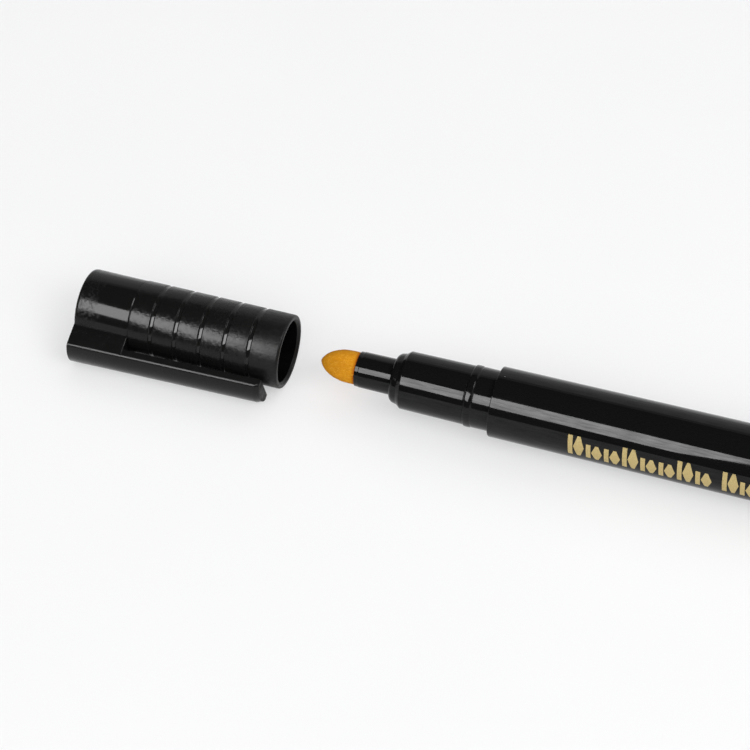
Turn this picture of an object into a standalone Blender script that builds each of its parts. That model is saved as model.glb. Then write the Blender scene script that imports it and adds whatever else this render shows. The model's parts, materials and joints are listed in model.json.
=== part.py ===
"""Counterfeit detector pen: a capped felt-tip marker with its ink store, lying on a table with the cap pulled off.

Metres, +Z up. The pen and its cap share one axis, which runs along X from the cap's closed end to the
pen's rear plug. The origin lies on the table, under the middle of the pen and its cap. Lengths along the
pen are measured from the shoulder, where the barrel ends and the neck begins, and grow towards the rear.
Lengths along the cap are measured from the plane of its mouth, and its closed end is on the minus side.
"""

import math

import bmesh
import bpy
from mathutils import Matrix

MM = 0.001

# Clearances
SEAT_GAP = 0.30 * MM  # between two faces that meet end to end
RADIAL_FIT = 0.10 * MM  # round a piece that is pushed into another

# Barrel
BARREL_LENGTH = 98.5 * MM
BARREL_FRONT_R = 5.50 * MM
BARREL_WALL = 1.10 * MM
BARREL_EDGE = 0.15 * MM  # chamfer round the front edge
NECK_SEAT = 1.0 * MM  # how far the neck goes into the barrel

# Front section, from the barrel to the nozzle
NECK_STEP = 0.76 * MM  # from the barrel's front edge down to the neck
NECK_LENGTH = 3.2 * MM
RIDGE_LENGTH = 1.3 * MM
RIDGE_RISE = 0.08 * MM  # the snap ridge above the neck
RIDGE_SLOPE = 0.15 * MM
GRIP_DROP_REAR = 0.12 * MM  # the grip below the neck, at its rear
GRIP_DROP_FRONT = 0.21 * MM
GRIP_LENGTH = 9.9 * MM
NOSE_LENGTH = 1.9 * MM  # the rounded shoulder in front of the grip
NOSE_DROP = 0.80 * MM
NOZZLE_LENGTH = 5.85 * MM
NOZZLE_LIP_WALL = 0.17 * MM
NOZZLE_DRAFT = 0.06 * MM
LIP_DEPTH = 1.0 * MM  # the wider mouth that the nib's head sits in
SECTION_WALL = 1.08 * MM
SKIRT_LENGTH = 9.0 * MM  # the part of the section hidden in the barrel
SKIRT_CHAMFER = 0.3 * MM

# Nib
NIB_R = 2.55 * MM
NIB_CLEAR = 0.08 * MM
NIB_OUT = 6.05 * MM  # how far the nib stands out of the nozzle
NIB_NOSE = 4.6 * MM  # length of the bullet point
NIB_NOSE_POWER = 0.68
SHANK_R = 2.10 * MM
SHANK_IN_RESERVOIR = 4.5 * MM

# Ink store
CHAMBER_DEPTH = 3.9 * MM  # from the nozzle's root back to the ink chamber
SLEEVE_WALL = 0.25 * MM
SLEEVE_SETBACK = 0.4 * MM  # the film ends short of the fibre rod

# Rear plug
PLUG_HEAD = 2.0 * MM
PLUG_STEP = 0.25 * MM  # the head below the barrel's rear edge
PLUG_CHAMFER = 0.45 * MM
PLUG_REACH = 12.0 * MM  # how far the plug goes into the barrel
PLUG_WALL = 1.0 * MM
PLUG_POST_R = 2.4 * MM

# Cap
CAP_CLEAR = 0.16 * MM  # round the neck
CAP_WALL = 0.99 * MM
CAP_END_WALL = 1.2 * MM
CAP_END_ROUND = 1.0 * MM
CAP_MOUTH_ROUND = 0.30 * MM
NIB_ROOM = 1.2 * MM  # in front of the nib's point, inside the seal
RING_COUNT = 5
RING_WIDTH = 0.70 * MM
RING_DEPTH = 0.22 * MM
RING_SLOPE = 0.08 * MM
FIRST_RING = 5.2 * MM  # from the mouth
LAST_RING_TO_HEAD = 3.7 * MM
HEAD_LENGTH = 8.9 * MM  # the smoother part at the closed end, which carries the clip
HEAD_STEP = 0.08 * MM
INNER_RIB_COUNT = 8
INNER_RIB_WIDTH = 0.5 * MM
INNER_RIB_HEIGHT = 0.20 * MM
INNER_RIB_START = 5.5 * MM

# Seal inside the cap
SEAL_CLEAR = 0.12 * MM  # round the nozzle
SEAL_WALL = 0.75 * MM
SEAL_SETBACK = 2.0 * MM  # from the nozzle's root to the seal's mouth
SEAL_FLOOR = 1.0 * MM
SEAL_TAIL = 2.6 * MM
SEAL_FLANGE = 1.2 * MM

# Clip
CLIP_WIDTH = 6.1 * MM
CLIP_STAND = 2.56 * MM  # from the cap's tube out to the edges of the clip's face, at the closed end
CLIP_CROWN = 1.10 * MM  # how far the face swells between its edges
CLIP_THICK = 1.2 * MM
CLIP_DROP = 0.60 * MM  # how much nearer to the tube the clip's tip is
CLIP_SHORT = 1.3 * MM  # from the tip to the plane of the cap's mouth
CLIP_TIP_BEVEL = 1.2 * MM
CLIP_TIP_FALL = 0.9 * MM
CLIP_PAD = 0.35 * MM  # the pad under the tip that grips the cloth
CLIP_PAD_LENGTH = 2.2 * MM
CLIP_BLOCK_BACK = 0.12 * MM  # the block's end face in from the cap's end
CLIP_BLOCK_SINK = 0.20 * MM  # the block's root above the cap's bore

# At rest
NIB_TO_CAP = 5.36 * MM  # open space between the nib's point and the cap's mouth

# Facets
ROUND = 48
INNER_ROUND = 32
CROWN_STEPS = 8

# Sizes that follow from the ones above
NECK_R = BARREL_FRONT_R - NECK_STEP
RIDGE_R = NECK_R + RIDGE_RISE
GRIP_REAR_R = NECK_R - GRIP_DROP_REAR
GRIP_FRONT_R = NECK_R - GRIP_DROP_FRONT
NOZZLE_MOUTH_R = NIB_R + NIB_CLEAR
NOZZLE_FRONT_R = NOZZLE_MOUTH_R + NOZZLE_LIP_WALL
NOZZLE_ROOT_R = NOZZLE_FRONT_R + NOZZLE_DRAFT
CHAMBER_R = GRIP_FRONT_R - SECTION_WALL
SHANK_BORE_R = SHANK_R + RADIAL_FIT
SLEEVE_R = CHAMBER_R - RADIAL_FIT
RESERVOIR_R = SLEEVE_R - SLEEVE_WALL - RADIAL_FIT
CAP_BORE_R = NECK_R + CAP_CLEAR
CAP_R = CAP_BORE_R + CAP_WALL
CAP_RIB_R = CAP_BORE_R - INNER_RIB_HEIGHT
BARREL_REAR_R = CAP_R
BARREL_FRONT_BORE_R = BARREL_FRONT_R - BARREL_WALL
BARREL_REAR_BORE_R = BARREL_REAR_R - BARREL_WALL

RIDGE_REAR = -NECK_LENGTH
RIDGE_FRONT = RIDGE_REAR - RIDGE_LENGTH
GRIP_FRONT = RIDGE_FRONT - GRIP_LENGTH
NOZZLE_ROOT = GRIP_FRONT - NOSE_LENGTH
NOZZLE_END = NOZZLE_ROOT - NOZZLE_LENGTH
NIB_TIP = NOZZLE_END - NIB_OUT
RESERVOIR_FRONT = NOZZLE_ROOT + CHAMBER_DEPTH
CHAMBER_FRONT = RESERVOIR_FRONT - SEAT_GAP
SHANK_END = RESERVOIR_FRONT + SHANK_IN_RESERVOIR
PLUG_FRONT = BARREL_LENGTH - PLUG_REACH
RESERVOIR_REAR = PLUG_FRONT - SEAT_GAP
REAR_END = BARREL_LENGTH + SEAT_GAP + PLUG_HEAD

SEATED_NOZZLE_ROOT = NOZZLE_ROOT + SEAT_GAP
SEATED_TIP = NIB_TIP + SEAT_GAP
SEAL_MOUTH = SEATED_NOZZLE_ROOT - SEAL_SETBACK
SEAL_BOTTOM = SEATED_TIP - NIB_ROOM
SEAL_BACK = SEAL_BOTTOM - SEAL_FLOOR - SEAL_TAIL
SEAL_R = NOZZLE_ROOT_R + SEAL_CLEAR
SEAL_OUTER_R = SEAL_R + SEAL_WALL
SEAL_FLANGE_R = CAP_RIB_R - RADIAL_FIT
CAP_FLOOR = SEAL_BACK - SEAT_GAP
CAP_END = CAP_FLOOR - CAP_END_WALL
HEAD_FRONT = CAP_END + HEAD_LENGTH
RING_PITCH = (-HEAD_FRONT - LAST_RING_TO_HEAD - FIRST_RING) / (RING_COUNT - 1)

CLIP_EDGE_R = CAP_R + CLIP_STAND
CLIP_HALF = CLIP_WIDTH / 2
CLIP_ROOT = HEAD_FRONT + SEAT_GAP
CLIP_TIP = -CLIP_SHORT
CLIP_SLOPE = CLIP_DROP / (CLIP_TIP - CAP_END)
CLIP_EDGE_DISTANCE = math.hypot(CLIP_EDGE_R, CLIP_HALF)
# The cap has rolled until the clip's lower edge lies on the table beside the tube.
CLIP_TURN = math.asin(CAP_R / CLIP_EDGE_DISTANCE) - math.atan2(CLIP_HALF, CLIP_EDGE_R)
CROWN_R = (CLIP_HALF**2 + CLIP_CROWN**2) / (2 * CLIP_CROWN)


def crown(across):
    """How far the clip's face stands above its edges, at this distance from its middle line."""
    return math.sqrt(CROWN_R**2 - across**2) - (CROWN_R - CLIP_CROWN)


def clip_edge(along):
    """Distance from the cap's axis to the edges of the clip's face."""
    return CLIP_EDGE_R - CLIP_SLOPE * (along - CAP_END)


def crown_line(edge):
    """The face's section from one edge to the other, as (across, out from the axis)."""
    across = [CLIP_HALF * (1 - 2 * i / CROWN_STEPS) for i in range(CROWN_STEPS + 1)]
    return [(a, edge + crown(a)) for a in across]


CLIP_REACH = max(
    out * math.cos(CLIP_TURN) + across * math.sin(CLIP_TURN)
    for across, out in crown_line(clip_edge(CAP_END + CLIP_BLOCK_BACK))
)

# Places
AXIS_Z = CAP_R
AXIS_Y = (CLIP_REACH - CAP_R) / 2
CAP_MOUTH = NIB_TIP - NIB_TO_CAP
SHOULDER_X = -(REAR_END + CAP_MOUTH + CAP_END) / 2


def clear_scene():
    for obj in list(bpy.data.objects):
        bpy.data.objects.remove(obj, do_unlink=True)


def make_material(name, colour, roughness, metallic=0.0):
    material = bpy.data.materials.new(name)
    material.use_nodes = True
    shader = material.node_tree.nodes["Principled BSDF"]
    shader.inputs["Base Color"].default_value = (*colour, 1.0)
    shader.inputs["Roughness"].default_value = roughness
    shader.inputs["Metallic"].default_value = metallic
    return material


def make_empty(name, location, turn=0.0, parent=None):
    empty = bpy.data.objects.new(name, None)
    empty.empty_display_size = 5 * MM
    empty.location = location
    empty.rotation_euler.x = turn
    empty.parent = parent
    bpy.context.scene.collection.objects.link(empty)
    return empty


def add_object(name, bm, parent, material=None):
    """Closes a bmesh up into an object under an empty. With no material it is a helper for a Boolean."""
    bmesh.ops.remove_doubles(bm, verts=bm.verts, dist=1e-7)
    bmesh.ops.recalc_face_normals(bm, faces=bm.faces)
    mesh = bpy.data.meshes.new(name)
    bm.to_mesh(mesh)
    bm.free()
    mesh.shade_smooth()
    mesh.set_sharp_from_angle(angle=math.radians(30))
    obj = bpy.data.objects.new(name, mesh)
    obj.parent = parent
    if material:
        mesh.materials.append(material)
    else:
        obj.hide_render = True
        obj.display_type = "WIRE"
    bpy.context.scene.collection.objects.link(obj)
    return obj


def add_union(obj, helper):
    union = obj.modifiers.new(helper.name, "BOOLEAN")
    union.operation = "UNION"
    union.solver = "EXACT"
    union.object = helper


def turned(name, profile, parent, material, closed, steps=ROUND):
    """Spins a profile of (along, radius) points round X. A closed profile makes a tube, an open one a solid."""
    bm = bmesh.new()
    verts = [bm.verts.new((x, 0.0, -r)) for x, r in profile]
    ends = verts[1:] + verts[:1] if closed else verts[1:]
    edges = [bm.edges.new(pair) for pair in zip(verts, ends)]
    bmesh.ops.spin(
        bm, geom=verts + edges, cent=(0, 0, 0), axis=(1, 0, 0), angle=2 * math.pi, steps=steps, use_merge=True
    )
    return add_object(name, bm, parent, material)


def arc(centre, radius, start, end, steps):
    """Points of an arc in the (along, radius) plane, from one angle in degrees to another."""
    angles = [math.radians(start + (end - start) * i / steps) for i in range(steps + 1)]
    return [(centre[0] + radius * math.cos(a), centre[1] + radius * math.sin(a)) for a in angles]


def make_barrel(pen, plastic):
    seat_r = NECK_R + RADIAL_FIT
    seat_end = NECK_SEAT + SEAT_GAP
    profile = [
        (0, seat_r),
        (0, BARREL_FRONT_R - BARREL_EDGE),
        (BARREL_EDGE, BARREL_FRONT_R),
        (BARREL_LENGTH - BARREL_EDGE, BARREL_REAR_R),
        (BARREL_LENGTH, BARREL_REAR_R - BARREL_EDGE),
        (BARREL_LENGTH, BARREL_REAR_BORE_R),
        (seat_end, BARREL_FRONT_BORE_R),
        (seat_end, seat_r),
    ]
    turned("barrel", profile, pen, plastic, closed=True)


def make_rear_plug(pen, plastic):
    head_front = BARREL_LENGTH + SEAT_GAP
    head_r = BARREL_REAR_R - PLUG_STEP
    skirt_r = BARREL_FRONT_BORE_R + (BARREL_REAR_BORE_R - BARREL_FRONT_BORE_R) * PLUG_FRONT / BARREL_LENGTH
    skirt_r -= RADIAL_FIT
    groove_end = BARREL_LENGTH - PLUG_WALL
    profile = [
        (REAR_END, 0),
        (REAR_END, head_r - PLUG_CHAMFER),
        (REAR_END - PLUG_CHAMFER, head_r),
        (head_front, head_r),
        (head_front, skirt_r),
        (PLUG_FRONT + SKIRT_CHAMFER, skirt_r),
        (PLUG_FRONT, skirt_r - SKIRT_CHAMFER),
        (PLUG_FRONT, skirt_r - PLUG_WALL),
        (groove_end, skirt_r - PLUG_WALL),
        (groove_end, PLUG_POST_R),
        (PLUG_FRONT, PLUG_POST_R),
        (PLUG_FRONT, 0),
    ]
    turned("rear_plug", profile, pen, plastic, closed=False, steps=INNER_ROUND)


def make_front_section(pen, plastic):
    skirt_r = BARREL_FRONT_BORE_R - RADIAL_FIT
    nose = [
        (GRIP_FRONT - NOSE_LENGTH * share, GRIP_FRONT_R - NOSE_DROP * share**1.6)
        for share in (0, 0.25, 0.5, 0.75, 0.95)
    ]
    outside = [
        (SKIRT_LENGTH, skirt_r - SKIRT_CHAMFER),
        (SKIRT_LENGTH - SKIRT_CHAMFER, skirt_r),
        (NECK_SEAT, skirt_r),
        (NECK_SEAT, NECK_R),
        (RIDGE_REAR, NECK_R),
        (RIDGE_REAR - RIDGE_SLOPE, RIDGE_R),
        (RIDGE_FRONT + RIDGE_SLOPE, RIDGE_R),
        (RIDGE_FRONT, GRIP_REAR_R),
        *nose,
        (NOZZLE_ROOT, GRIP_FRONT_R - NOSE_DROP - NOZZLE_DRAFT),
        (NOZZLE_ROOT, NOZZLE_ROOT_R),
        (NOZZLE_END + NOZZLE_DRAFT, NOZZLE_FRONT_R),
        (NOZZLE_END, NOZZLE_FRONT_R - NOZZLE_DRAFT),
    ]
    inside = [
        (NOZZLE_END, NOZZLE_MOUTH_R),
        (NOZZLE_END + LIP_DEPTH, NOZZLE_MOUTH_R),
        (NOZZLE_END + LIP_DEPTH, SHANK_BORE_R),
        (CHAMBER_FRONT, SHANK_BORE_R),
        (CHAMBER_FRONT, CHAMBER_R),
        (SKIRT_LENGTH, CHAMBER_R),
    ]
    turned("front_section", outside + inside, pen, plastic, closed=True)


def make_nib(pen, felt):
    head_back = NOZZLE_END + LIP_DEPTH - SEAT_GAP
    shares = [0.0, 0.04, 0.1, 0.18, 0.28, 0.4, 0.55, 0.75, 1.0]
    nose = [
        (NIB_TIP + NIB_NOSE * share, NIB_R * (1 - (1 - share) ** 2) ** NIB_NOSE_POWER)
        for share in shares
    ]
    shank = [(head_back, NIB_R), (head_back, SHANK_R), (SHANK_END, SHANK_R), (SHANK_END, 0)]
    turned("nib", nose + shank, pen, felt, closed=False, steps=INNER_ROUND)


def make_ink_store(pen, fibre, film):
    socket_end = SHANK_END + SEAT_GAP
    rod = [
        (RESERVOIR_REAR, 0),
        (RESERVOIR_REAR, RESERVOIR_R),
        (RESERVOIR_FRONT, RESERVOIR_R),
        (RESERVOIR_FRONT, SHANK_BORE_R),
        (socket_end, SHANK_BORE_R),
        (socket_end, 0),
    ]
    turned("ink_reservoir", rod, pen, fibre, closed=False, steps=INNER_ROUND)
    front = RESERVOIR_FRONT + SLEEVE_SETBACK
    rear = RESERVOIR_REAR - SLEEVE_SETBACK
    inner_r = SLEEVE_R - SLEEVE_WALL
    wrap = [(front, SLEEVE_R), (rear, SLEEVE_R), (rear, inner_r), (front, inner_r)]
    turned("reservoir_sleeve", wrap, pen, film, closed=True, steps=INNER_ROUND)


def ring_groove(middle):
    """The four corners of a grip ring's groove, from its mouth side to its closed side."""
    half = RING_WIDTH / 2
    floor = CAP_R - RING_DEPTH
    return [
        (middle + half, CAP_R),
        (middle + half - RING_SLOPE, floor),
        (middle - half + RING_SLOPE, floor),
        (middle - half, CAP_R),
    ]


def make_inner_ribs(cap):
    """Ribs along the cap's bore, which centre the front section and hold the seal."""
    bm = bmesh.new()
    length = -INNER_RIB_START - (CAP_FLOOR - CAP_END_WALL / 2)
    height = CAP_WALL / 2 + INNER_RIB_HEIGHT
    size = Matrix.Diagonal((length, INNER_RIB_WIDTH, height, 1))
    place = Matrix.Translation((-INNER_RIB_START - length / 2, 0, CAP_RIB_R + height / 2))
    for i in range(INNER_RIB_COUNT):
        turn = Matrix.Rotation(2 * math.pi * (i + 0.5) / INNER_RIB_COUNT, 4, "X")
        bmesh.ops.create_cube(bm, size=1, matrix=turn @ place @ size)
    return add_object("inner_ribs", bm, cap)


def loft(sections):
    """Closed body through sections with the same number of points, each a list of (x, y, z)."""
    bm = bmesh.new()
    rings = [[bm.verts.new(point) for point in section] for section in sections]
    count = len(rings[0])
    for near, far in zip(rings, rings[1:]):
        for i in range(count):
            j = (i + 1) % count
            bm.faces.new((near[i], near[j], far[j], far[i]))
    bm.faces.new(rings[0])
    bm.faces.new(reversed(rings[-1]))
    return bm


def make_clip_block(clip_frame):
    """The solid end of the clip, whose root lies inside the cap's wall."""
    root_r = CAP_BORE_R + CLIP_BLOCK_SINK
    spread = math.asin(CLIP_HALF / root_r)
    angles = [spread * (2 * i / CROWN_STEPS - 1) for i in range(CROWN_STEPS + 1)]
    root = [(root_r * math.sin(a), root_r * math.cos(a)) for a in angles]
    sections = [
        [(x, across, out) for across, out in crown_line(clip_edge(x)) + root]
        for x in (CAP_END + CLIP_BLOCK_BACK, HEAD_FRONT)
    ]
    return add_object("clip_block", loft(sections), clip_frame)


def make_cap_shell(cap, clip_frame, plastic):
    head_r = CAP_R - HEAD_STEP
    end_round = (CAP_END + CAP_END_ROUND, head_r - CAP_END_ROUND)
    rings = [ring_groove(-FIRST_RING - RING_PITCH * i) for i in range(RING_COUNT)]
    profile = [
        (CAP_FLOOR, 0),
        (CAP_FLOOR, CAP_BORE_R),
        (-CAP_MOUTH_ROUND, CAP_BORE_R),
        (0, CAP_BORE_R + CAP_MOUTH_ROUND),
        *arc((-CAP_MOUTH_ROUND, CAP_R - CAP_MOUTH_ROUND), CAP_MOUTH_ROUND, 0, 90, 3),
        *[point for ring in rings for point in ring],
        (HEAD_FRONT, CAP_R),
        (HEAD_FRONT - HEAD_STEP, head_r),
        *arc(end_round, CAP_END_ROUND, 90, 180, 4),
        (CAP_END, 0),
    ]
    shell = turned("cap_shell", profile, cap, plastic, closed=False)
    add_union(shell, make_clip_block(clip_frame))
    add_union(shell, make_inner_ribs(cap))


def make_cap_clip(pivot, pivot_r, plastic):
    """The springy arm. Its sections run from the block to the tip, seen from the pivot at its root."""
    tip_start = CLIP_TIP - CLIP_TIP_BEVEL
    pad_start = tip_start - CLIP_PAD_LENGTH
    stations = [(CLIP_ROOT, 0, 0), (pad_start, 0, 0), (tip_start, 0, CLIP_PAD), (CLIP_TIP, CLIP_TIP_FALL, 0)]
    sections = []
    for x, fall, pad in stations:
        inner = clip_edge(x) - CLIP_THICK - pad
        line = crown_line(clip_edge(x) - fall) + [(-CLIP_HALF, inner), (CLIP_HALF, inner)]
        sections.append([(x - CLIP_ROOT, across, out - pivot_r) for across, out in line])
    add_object("cap_clip", loft(sections), pivot, plastic)


def make_inner_cap(cap, seal_plastic):
    back = SEAL_BACK
    flange_front = back + SEAL_FLANGE
    lead = SEAL_WALL / 3
    profile = [
        (SEAL_BOTTOM, 0),
        (SEAL_BOTTOM, SEAL_R),
        (SEAL_MOUTH - lead, SEAL_R),
        (SEAL_MOUTH, SEAL_R + lead),
        (SEAL_MOUTH, SEAL_OUTER_R),
        (flange_front, SEAL_OUTER_R),
        (flange_front, SEAL_FLANGE_R),
        (back, SEAL_FLANGE_R),
        (back, 0),
    ]
    turned("inner_cap", profile, cap, seal_plastic, closed=False, steps=INNER_ROUND)


def main():
    clear_scene()
    gloss_black = make_material("gloss_black", (0.010, 0.010, 0.011), 0.12)
    satin_black = make_material("satin_black", (0.013, 0.013, 0.014), 0.38)
    felt = make_material("amber_felt", (0.62, 0.29, 0.03), 0.85)
    fibre = make_material("inked_fibre", (0.72, 0.48, 0.16), 0.9)
    film = make_material("clear_film", (0.85, 0.85, 0.80), 0.2)
    seal_plastic = make_material("natural_seal", (0.60, 0.60, 0.58), 0.4)

    pen = make_empty("pen_axis", (SHOULDER_X, AXIS_Y, AXIS_Z))
    make_barrel(pen, gloss_black)
    make_rear_plug(pen, gloss_black)
    make_front_section(pen, gloss_black)
    make_nib(pen, felt)
    make_ink_store(pen, fibre, film)

    cap = make_empty("cap_axis", (SHOULDER_X + CAP_MOUTH, AXIS_Y, AXIS_Z))
    # In this frame +Z points out through the middle of the clip, and +Y across it.
    clip_frame = make_empty("clip_frame", (0, 0, 0), math.pi / 2 + CLIP_TURN, cap)
    pivot_r = clip_edge(CLIP_ROOT) - CLIP_THICK / 2
    pivot = make_empty("clip_pivot", (CLIP_ROOT, 0, pivot_r), 0.0, clip_frame)
    make_cap_shell(cap, clip_frame, satin_black)
    make_cap_clip(pivot, pivot_r, satin_black)
    make_inner_cap(cap, seal_plastic)


main()
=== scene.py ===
# %% [markdown]
# # A counterfeit detector pen
#
# This lesson finishes a felt-tip pen that shopkeepers use to test banknotes: a glossy black barrel and
# grip, an amber felt nib, and a satin black cap with grip rings and a pocket clip, pulled off and laid in
# front. The mechanical model is already packed as a fixed frame. Here each piece gets its fine surface and
# its finish.

# %% Load the frame
import json
import math

import bmesh
import bpy
from mathutils import Matrix, Vector
from mathutils import noise as lumps


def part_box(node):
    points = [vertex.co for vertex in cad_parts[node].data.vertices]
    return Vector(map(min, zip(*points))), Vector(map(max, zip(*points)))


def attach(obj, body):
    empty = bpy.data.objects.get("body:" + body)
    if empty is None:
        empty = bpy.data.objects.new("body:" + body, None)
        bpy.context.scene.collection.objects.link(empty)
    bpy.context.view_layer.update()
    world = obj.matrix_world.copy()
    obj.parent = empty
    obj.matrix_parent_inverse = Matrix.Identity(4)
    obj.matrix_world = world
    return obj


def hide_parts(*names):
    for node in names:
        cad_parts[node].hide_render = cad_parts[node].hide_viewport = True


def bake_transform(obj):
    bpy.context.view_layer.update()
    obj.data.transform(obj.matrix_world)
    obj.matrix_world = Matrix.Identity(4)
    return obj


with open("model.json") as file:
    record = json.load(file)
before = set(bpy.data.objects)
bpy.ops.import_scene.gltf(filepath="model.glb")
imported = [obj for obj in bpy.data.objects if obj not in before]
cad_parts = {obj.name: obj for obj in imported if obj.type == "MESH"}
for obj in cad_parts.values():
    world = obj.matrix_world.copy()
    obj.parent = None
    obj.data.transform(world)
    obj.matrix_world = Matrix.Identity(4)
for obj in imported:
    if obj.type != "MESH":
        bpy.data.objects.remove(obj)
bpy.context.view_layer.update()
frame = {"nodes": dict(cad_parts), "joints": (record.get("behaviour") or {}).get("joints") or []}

MM = 0.001

# %% [markdown]
# ## Where things are
#
# Every place is read from the frame. The pen and the cap are turned shapes on one axis along X, so two
# numbers give the axis and a few more give the ends. Lengths on the pen are measured from the shoulder,
# where the barrel begins, and lengths on the cap from its mouth. The clip is tilted round the axis, and its
# hinge says how much.

# %% Read the places
barrel_low, barrel_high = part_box("barrel")
plug_low, plug_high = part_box("rear_plug")
nib_low, nib_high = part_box("nib")
section_low, section_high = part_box("front_section")
cap_low, cap_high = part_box("cap_shell")
arm_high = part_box("cap_clip")[1]
seal_low, seal_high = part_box("inner_cap")

SHOULDER = barrel_low.x
MOUTH = cap_high.x
AXIS = Vector((0, (barrel_low.y + barrel_high.y) / 2, (barrel_low.z + barrel_high.z) / 2))
BARREL_LENGTH = barrel_high.x - barrel_low.x
CAP_R = (barrel_high.z - barrel_low.z) / 2
CAP_LENGTH = cap_high.x - cap_low.x
joints = {joint["name"]: joint for joint in frame["joints"]}
hinge_axis = joints["clip_flex"]["axis"]
CLIP_TURN = math.atan2(hinge_axis[1], -hinge_axis[2])
print(f"shoulder {SHOULDER / MM:.2f} mm, mouth {MOUTH / MM:.2f} mm")
print(f"clip {math.degrees(CLIP_TURN):.1f} degrees down")

# %% [markdown]
# ## Camera
#
# A small product is best shown through a long lens from an arm's length away, looking down. The camera is
# placed by the point it looks at, its distance, and three angles, which is easier to adjust than a matrix.
# The pen runs out of view on the right, so the lens looks at a point between the cap and the grip.

# %% Place the camera
LENS = 124.8
LOOK_AT = Vector((SHOULDER, AXIS.y, AXIS.z)) + Vector((-18.48, -3.06, 2.87)) * MM
CAMERA_DISTANCE = 396.1 * MM
HEADING, LOOK_DOWN, ROLL = math.radians(18.71), math.radians(46.6), math.radians(-0.46)

camera_data = bpy.data.cameras.new("camera")
camera_data.lens = LENS
camera = bpy.data.objects.new("camera", camera_data)
bpy.context.scene.collection.objects.link(camera)
aim = Matrix.Rotation(HEADING, 4, "Z") @ Matrix.Rotation(math.pi / 2 - LOOK_DOWN, 4, "X")
aim = aim @ Matrix.Rotation(ROLL, 4, "Z")
camera.matrix_world = Matrix.Translation(LOOK_AT) @ aim @ Matrix.Translation((0, 0, CAMERA_DISTANCE))
bpy.context.scene.camera = camera

# %% [markdown]
# ## Light and table
#
# Black plastic shows its shape only by what it reflects, so the lights come in two kinds. Some are seen
# only in reflections: a softbox in front draws the long bright stripe, two dim screens behind grey the top
# edge in two steps, and two small lamps on the right catch edges that face that way. The others light the
# table and the felt but are left out of reflections, so the ceiling stays black in the plastic. A light is
# placed by its direction from the pen, its distance and its size, then slid and rolled in its own plane.

# %% Softboxes
SHOULDER_MIDDLE = Vector((SHOULDER, AXIS.y, AXIS.z))


def softbox(name, azimuth, elevation, distance, size, radiance, slide=(0, 0), roll=0, only_reflected=False):
    """A rectangular lamp aimed at the shoulder. Angles are in degrees and lengths in metres."""
    data = bpy.data.lights.new(name, "AREA")
    data.shape = "RECTANGLE"
    data.size, data.size_y = size
    data.energy = radiance * math.pi * size[0] * size[1]
    light = bpy.data.objects.new(name, data)
    around = Matrix.Rotation(math.radians(azimuth), 4, "Z")
    tilt = Matrix.Rotation(math.radians(90 - elevation), 4, "X")
    in_plane = Matrix.Translation((*slide, distance)) @ Matrix.Rotation(math.radians(roll), 4, "Z")
    light.matrix_world = Matrix.Translation(SHOULDER_MIDDLE) @ around @ tilt @ in_plane
    light.visible_camera = False
    light.visible_glossy = only_reflected
    light.visible_diffuse = not only_reflected
    bpy.context.scene.collection.objects.link(light)


STRIPE_SLIDE = (-0.405, 0.077)
softbox("stripe", 0, 38, 0.9, (0.70, 0.494), 14.0, slide=STRIPE_SLIDE, roll=-14.6, only_reflected=True)
softbox("back_screen", 180, 21.5, 1.1, (2.6, 0.82), 0.40, only_reflected=True)
softbox("back_glow", 180, 25.0, 1.15, (2.7, 1.08), 0.32, only_reflected=True)
softbox("edge_light", 62, 42, 1.0, (0.6, 0.6), 1.2, only_reflected=True)
softbox("corner_light", 95, 55, 1.0, (0.40, 0.40), 9.0, only_reflected=True)
softbox("overhead", 0, 90, 1.2, (4.0, 4.0), 0.62)
softbox("from_the_front", 0, 38, 1.0, (1.4, 0.7), 2.0)
softbox("from_behind", 170, 50, 1.2, (1.2, 0.8), 0.75)
softbox("from_the_right", 62, 42, 1.0, (0.6, 0.6), 4.0)

# %% [markdown]
# The world is pale where the camera sees it, so that low views have a light background, and almost black
# for every other ray. Light Path tells the two apart.

# %% World
world = bpy.data.worlds.new("studio")
world.use_nodes = True
tree = world.node_tree
paths = tree.nodes.new("ShaderNodeLightPath")
pale_or_dark = tree.nodes.new("ShaderNodeMapRange")
pale_or_dark.inputs["To Min"].default_value = 0.006
pale_or_dark.inputs["To Max"].default_value = 0.92
tree.links.new(paths.outputs["Is Camera Ray"], pale_or_dark.inputs["Value"])
tree.links.new(pale_or_dark.outputs[0], tree.nodes["Background"].inputs["Strength"])
tree.nodes["Background"].inputs["Color"].default_value = (1.0, 1.0, 1.0, 1.0)
bpy.context.scene.world = world
bpy.context.scene.view_settings.view_transform = "Standard"

# %% [markdown]
# ## Building blocks
#
# Most pieces are turned, so one function spins an outline round the pen's axis. It lays the faces ring by
# ring itself, because their order decides where scattered things fall, and it has to be the same each time.
# An outline is a list of corners, each with the length that its rounding takes off both sides, because no
# moulded edge is truly sharp and the thin bright line on a rounded edge is what makes plastic look real.

# %% Outlines and spinning
SPIN_STEPS = 192


def eased(corners, closed=False, steps=4):
    """Turns (along, radius, ease) corners in mm into points, each corner eased by a small curve."""
    points = []
    count = len(corners)
    for i, (x, r, ease) in enumerate(corners):
        here = Vector((x, r))
        open_end = not closed and i in (0, count - 1)
        if ease == 0 or open_end:
            points.append(here)
            continue
        before = Vector(corners[i - 1][:2]) - here
        after = Vector(corners[(i + 1) % count][:2]) - here
        start = here + before.normalized() * ease
        end = here + after.normalized() * ease
        for k in range(steps + 1):
            t = k / steps
            points.append(start * (1 - t) ** 2 + here * 2 * t * (1 - t) + end * t**2)
    return points


def new_object(name, bm, *materials):
    mesh = bpy.data.meshes.new(name)
    bm.to_mesh(mesh)
    bm.free()
    for material in materials:
        mesh.materials.append(material)
    obj = bpy.data.objects.new(name, mesh)
    bpy.context.scene.collection.objects.link(obj)
    return obj


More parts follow.
